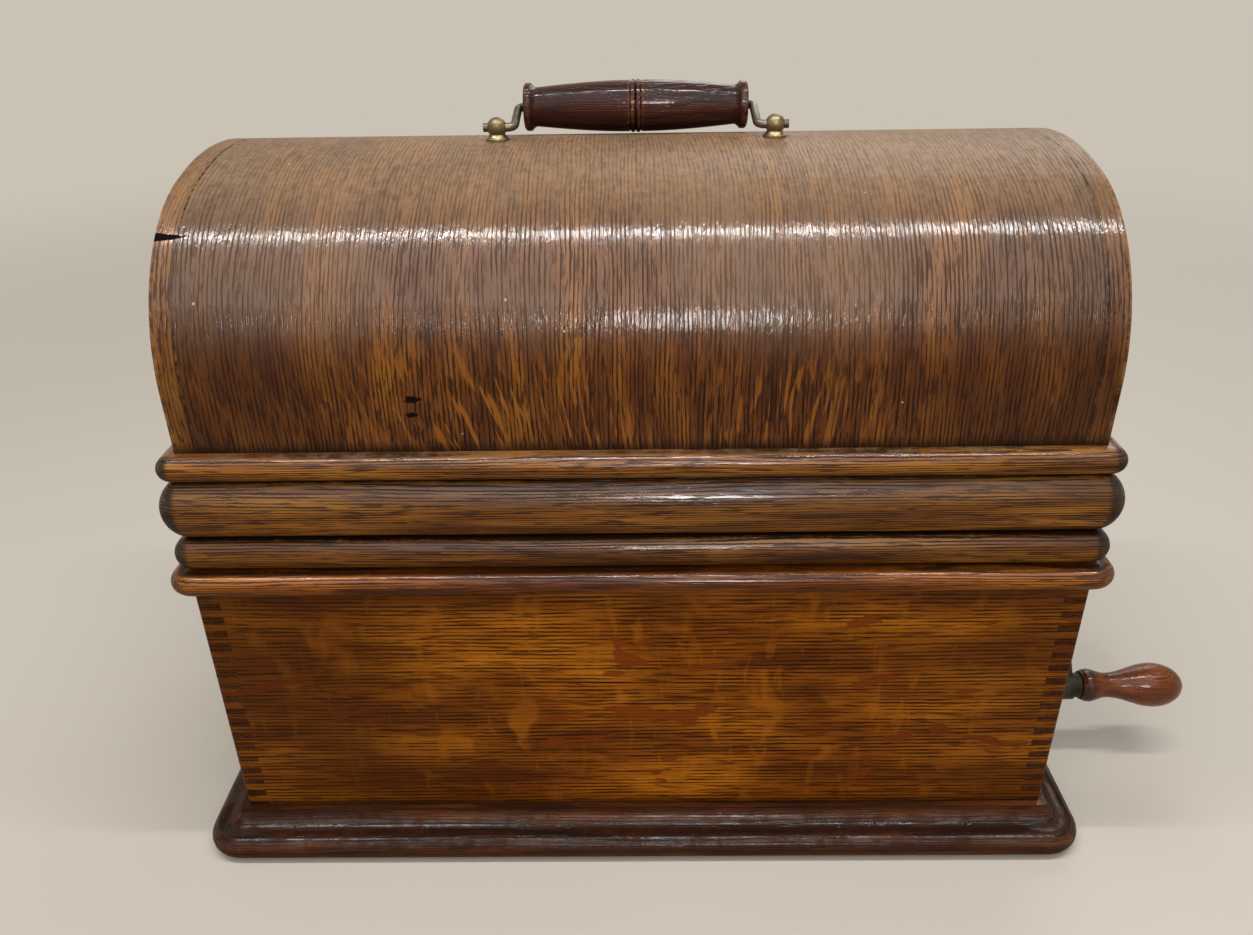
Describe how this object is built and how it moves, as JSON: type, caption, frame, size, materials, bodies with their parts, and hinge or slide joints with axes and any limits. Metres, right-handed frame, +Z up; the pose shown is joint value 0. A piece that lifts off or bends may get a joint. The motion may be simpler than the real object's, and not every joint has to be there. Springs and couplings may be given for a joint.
{
  "type": "cylinder phonograph",
  "caption": "Spring-wound cylinder phonograph in a finger-jointed oak case, with a lift-off bentwood dome lid, folding carrying handle and side winding crank.",
  "frame": {"origin": "middle of the underside, on the table", "axes": "+Z up, front of the case towards -Y, winding crank at +X"},
  "size_m": [0.4828, 0.241, 0.322],
  "materials": {
    "box_oak": "satin",
    "dome_oak": "satin",
    "rim_oak": "satin",
    "deck_oak": "gloss",
    "base_oak": "satin",
    "inner_pine": "matt",
    "grip_wood": "gloss",
    "crank_wood": "gloss",
    "brass": "aged",
    "aged_brass": "aged",
    "japan": "gloss",
    "steel": "satin",
    "wire_steel": "dull",
    "nickel": "polished",
    "hide": "matt"
  },
  "bodies": {
    "case": {"base_moulding": "base_oak", "bottom_board": "inner_pine", "front_panel": "box_oak", "back_panel": "box_oak", "left_panel": "box_oak", "right_panel": "box_oak", "deck_frame": "deck_oak", "bed_rails": "inner_pine", "crank_escutcheon": "aged_brass", "bedplate": "japan", "bedplate_screws": "brass", "motor_plate_left": "japan", "motor_plate_right": "japan", "motor_pillars": "steel", "left_standard": "japan", "centre_standard": "japan", "rod_posts": "japan", "back_rod": "nickel", "straight_edge": "nickel", "governor_brake": "hide", "winding_brake": "steel", "drive_belt": "hide"},
    "lid": {"lid_lower_bead": "rim_oak", "lid_belly_bead": "rim_oak", "lid_top_bead": "rim_oak", "lid_dome": "dome_oak", "lid_end_left": "dome_oak", "lid_end_right": "dome_oak", "handle_posts": "aged_brass", "catch_plates": "aged_brass"},
    "bail": {"handle_bail": "wire_steel"},
    "grip": {"handle_grip": "grip_wood"},
    "catch_left": {"left_catch": "aged_brass"},
    "catch_right": {"right_catch": "aged_brass"},
    "crank": {"winding_shaft": "steel", "crank_arm": "wire_steel"},
    "crank_knob": {"crank_grip": "crank_wood"},
    "arbor": {"barrel_arbor": "steel"},
    "barrel": {"spring_barrel": "brass", "barrel_cap": "brass", "mainspring": "steel"},
    "second": {"second_arbor": "steel"},
    "pulley": {"pulley_shaft": "steel", "motor_pulley": "brass"},
    "governor": {"governor_shaft": "steel", "governor_springs": "steel", "governor_weights": "steel", "governor_disc": "brass"},
    "mandrel_set": {"mandrel_shaft": "steel", "mandrel": "nickel", "mandrel_pulley": "japan"},
    "sleeve": {"carriage_sleeve": "nickel"},
    "carriage": {"carriage_arm": "japan", "half_nut": "brass", "reproducer": "nickel"},
    "gate": {"end_gate": "japan"},
    "lever": {"start_lever": "nickel"},
    "speed": {"speed_screw": "brass"}
  },
  "joints": [
    {"name": "lid_lift", "type": "slide", "parent": "case", "child": "lid", "axis": [0, 0, 1], "range_m": [0, 0.2]},
    {"name": "handle_swing", "type": "hinge", "parent": "lid", "child": "bail", "pos_m": [0, 0, 0.306], "axis": [1, 0, 0], "range_deg": [0, 153.7]},
    {"name": "handle_grip_spin", "type": "hinge", "parent": "bail", "child": "grip", "pos_m": [0, 0.02143, 0.31099], "axis": [1, 0, 0], "continuous": true},
    {"name": "left_catch_close", "type": "hinge", "parent": "lid", "child": "catch_left", "pos_m": [-0.194, 0, 0.1792], "axis": [0, -1, 0], "range_deg": [0, 16]},
    {"name": "right_catch_close", "type": "hinge", "parent": "lid", "child": "catch_right", "pos_m": [0.194, 0, 0.1792], "axis": [0, 1, 0], "range_deg": [0, 16]},
    {"name": "crank_turn", "type": "hinge", "parent": "case", "child": "crank", "pos_m": [0.2, 0.008, 0.102], "axis": [1, 0, 0], "continuous": true},
    {"name": "crank_grip_spin", "type": "hinge", "parent": "crank", "child": "crank_knob", "pos_m": [0.24, -0.04645, 0.04002], "axis": [1, 0, 0], "continuous": true},
    {"name": "arbor_turn", "type": "hinge", "parent": "case", "child": "arbor", "pos_m": [0, 0.03371, 0.07136], "axis": [1, 0, 0], "continuous": true},
    {"name": "mandrel_spin", "type": "hinge", "parent": "case", "child": "mandrel_set", "pos_m": [0, -0.014, 0.198], "axis": [1, 0, 0], "continuous": true},
    {"name": "barrel_turn", "type": "hinge", "parent": "case", "child": "barrel", "pos_m": [-0.09, 0.03371, 0.07136], "axis": [1, 0, 0], "continuous": true},
    {"name": "second_turn", "type": "hinge", "parent": "case", "child": "second", "pos_m": [-0.09, -0.01799, 0.06224], "axis": [1, 0, 0], "continuous": true},
    {"name": "pulley_turn", "type": "hinge", "parent": "case", "child": "pulley", "pos_m": [-0.09, -0.04129, 0.09001], "axis": [1, 0, 0], "continuous": true},
    {"name": "governor_turn", "type": "hinge", "parent": "case", "child": "governor", "pos_m": [-0.06, -0.0465, 0.11955], "axis": [1, 0, 0], "continuous": true},
    {"name": "carriage_slide", "type": "slide", "parent": "case", "child": "sleeve", "axis": [1, 0, 0], "range_m": [0, 0.08]},
    {"name": "carriage_lift", "type": "hinge", "parent": "sleeve", "child": "carriage", "pos_m": [0.008, 0.046, 0.214], "axis": [-1, 0, 0], "range_deg": [0, 25]},
    {"name": "gate_swing", "type": "hinge", "parent": "case", "child": "gate", "pos_m": [0.11, 0.014, 0.198], "axis": [0, 0, 1], "range_deg": [0, 95]},
    {"name": "start_lever_turn", "type": "hinge", "parent": "case", "child": "lever", "pos_m": [-0.06, -0.072, 0.149], "axis": [0, 0, -1], "range_deg": [0, 30]},
    {"name": "speed_screw_turn", "type": "hinge", "parent": "case", "child": "speed", "pos_m": [-0.116, -0.066, 0.15], "axis": [0, 0, 1], "range_deg": [-180, 180]}
  ],
  "couplings": [
    {"joint": "arbor_turn", "follows": "crank_turn", "ratio": -0.33333},
    {"joint": "pulley_turn", "follows": "mandrel_spin", "ratio": 1.5},
    {"joint": "second_turn", "follows": "mandrel_spin", "ratio": -0.3125},
    {"joint": "barrel_turn", "follows": "mandrel_spin", "ratio": 0.052083},
    {"joint": "governor_turn", "follows": "mandrel_spin", "ratio": -6}
  ]
}
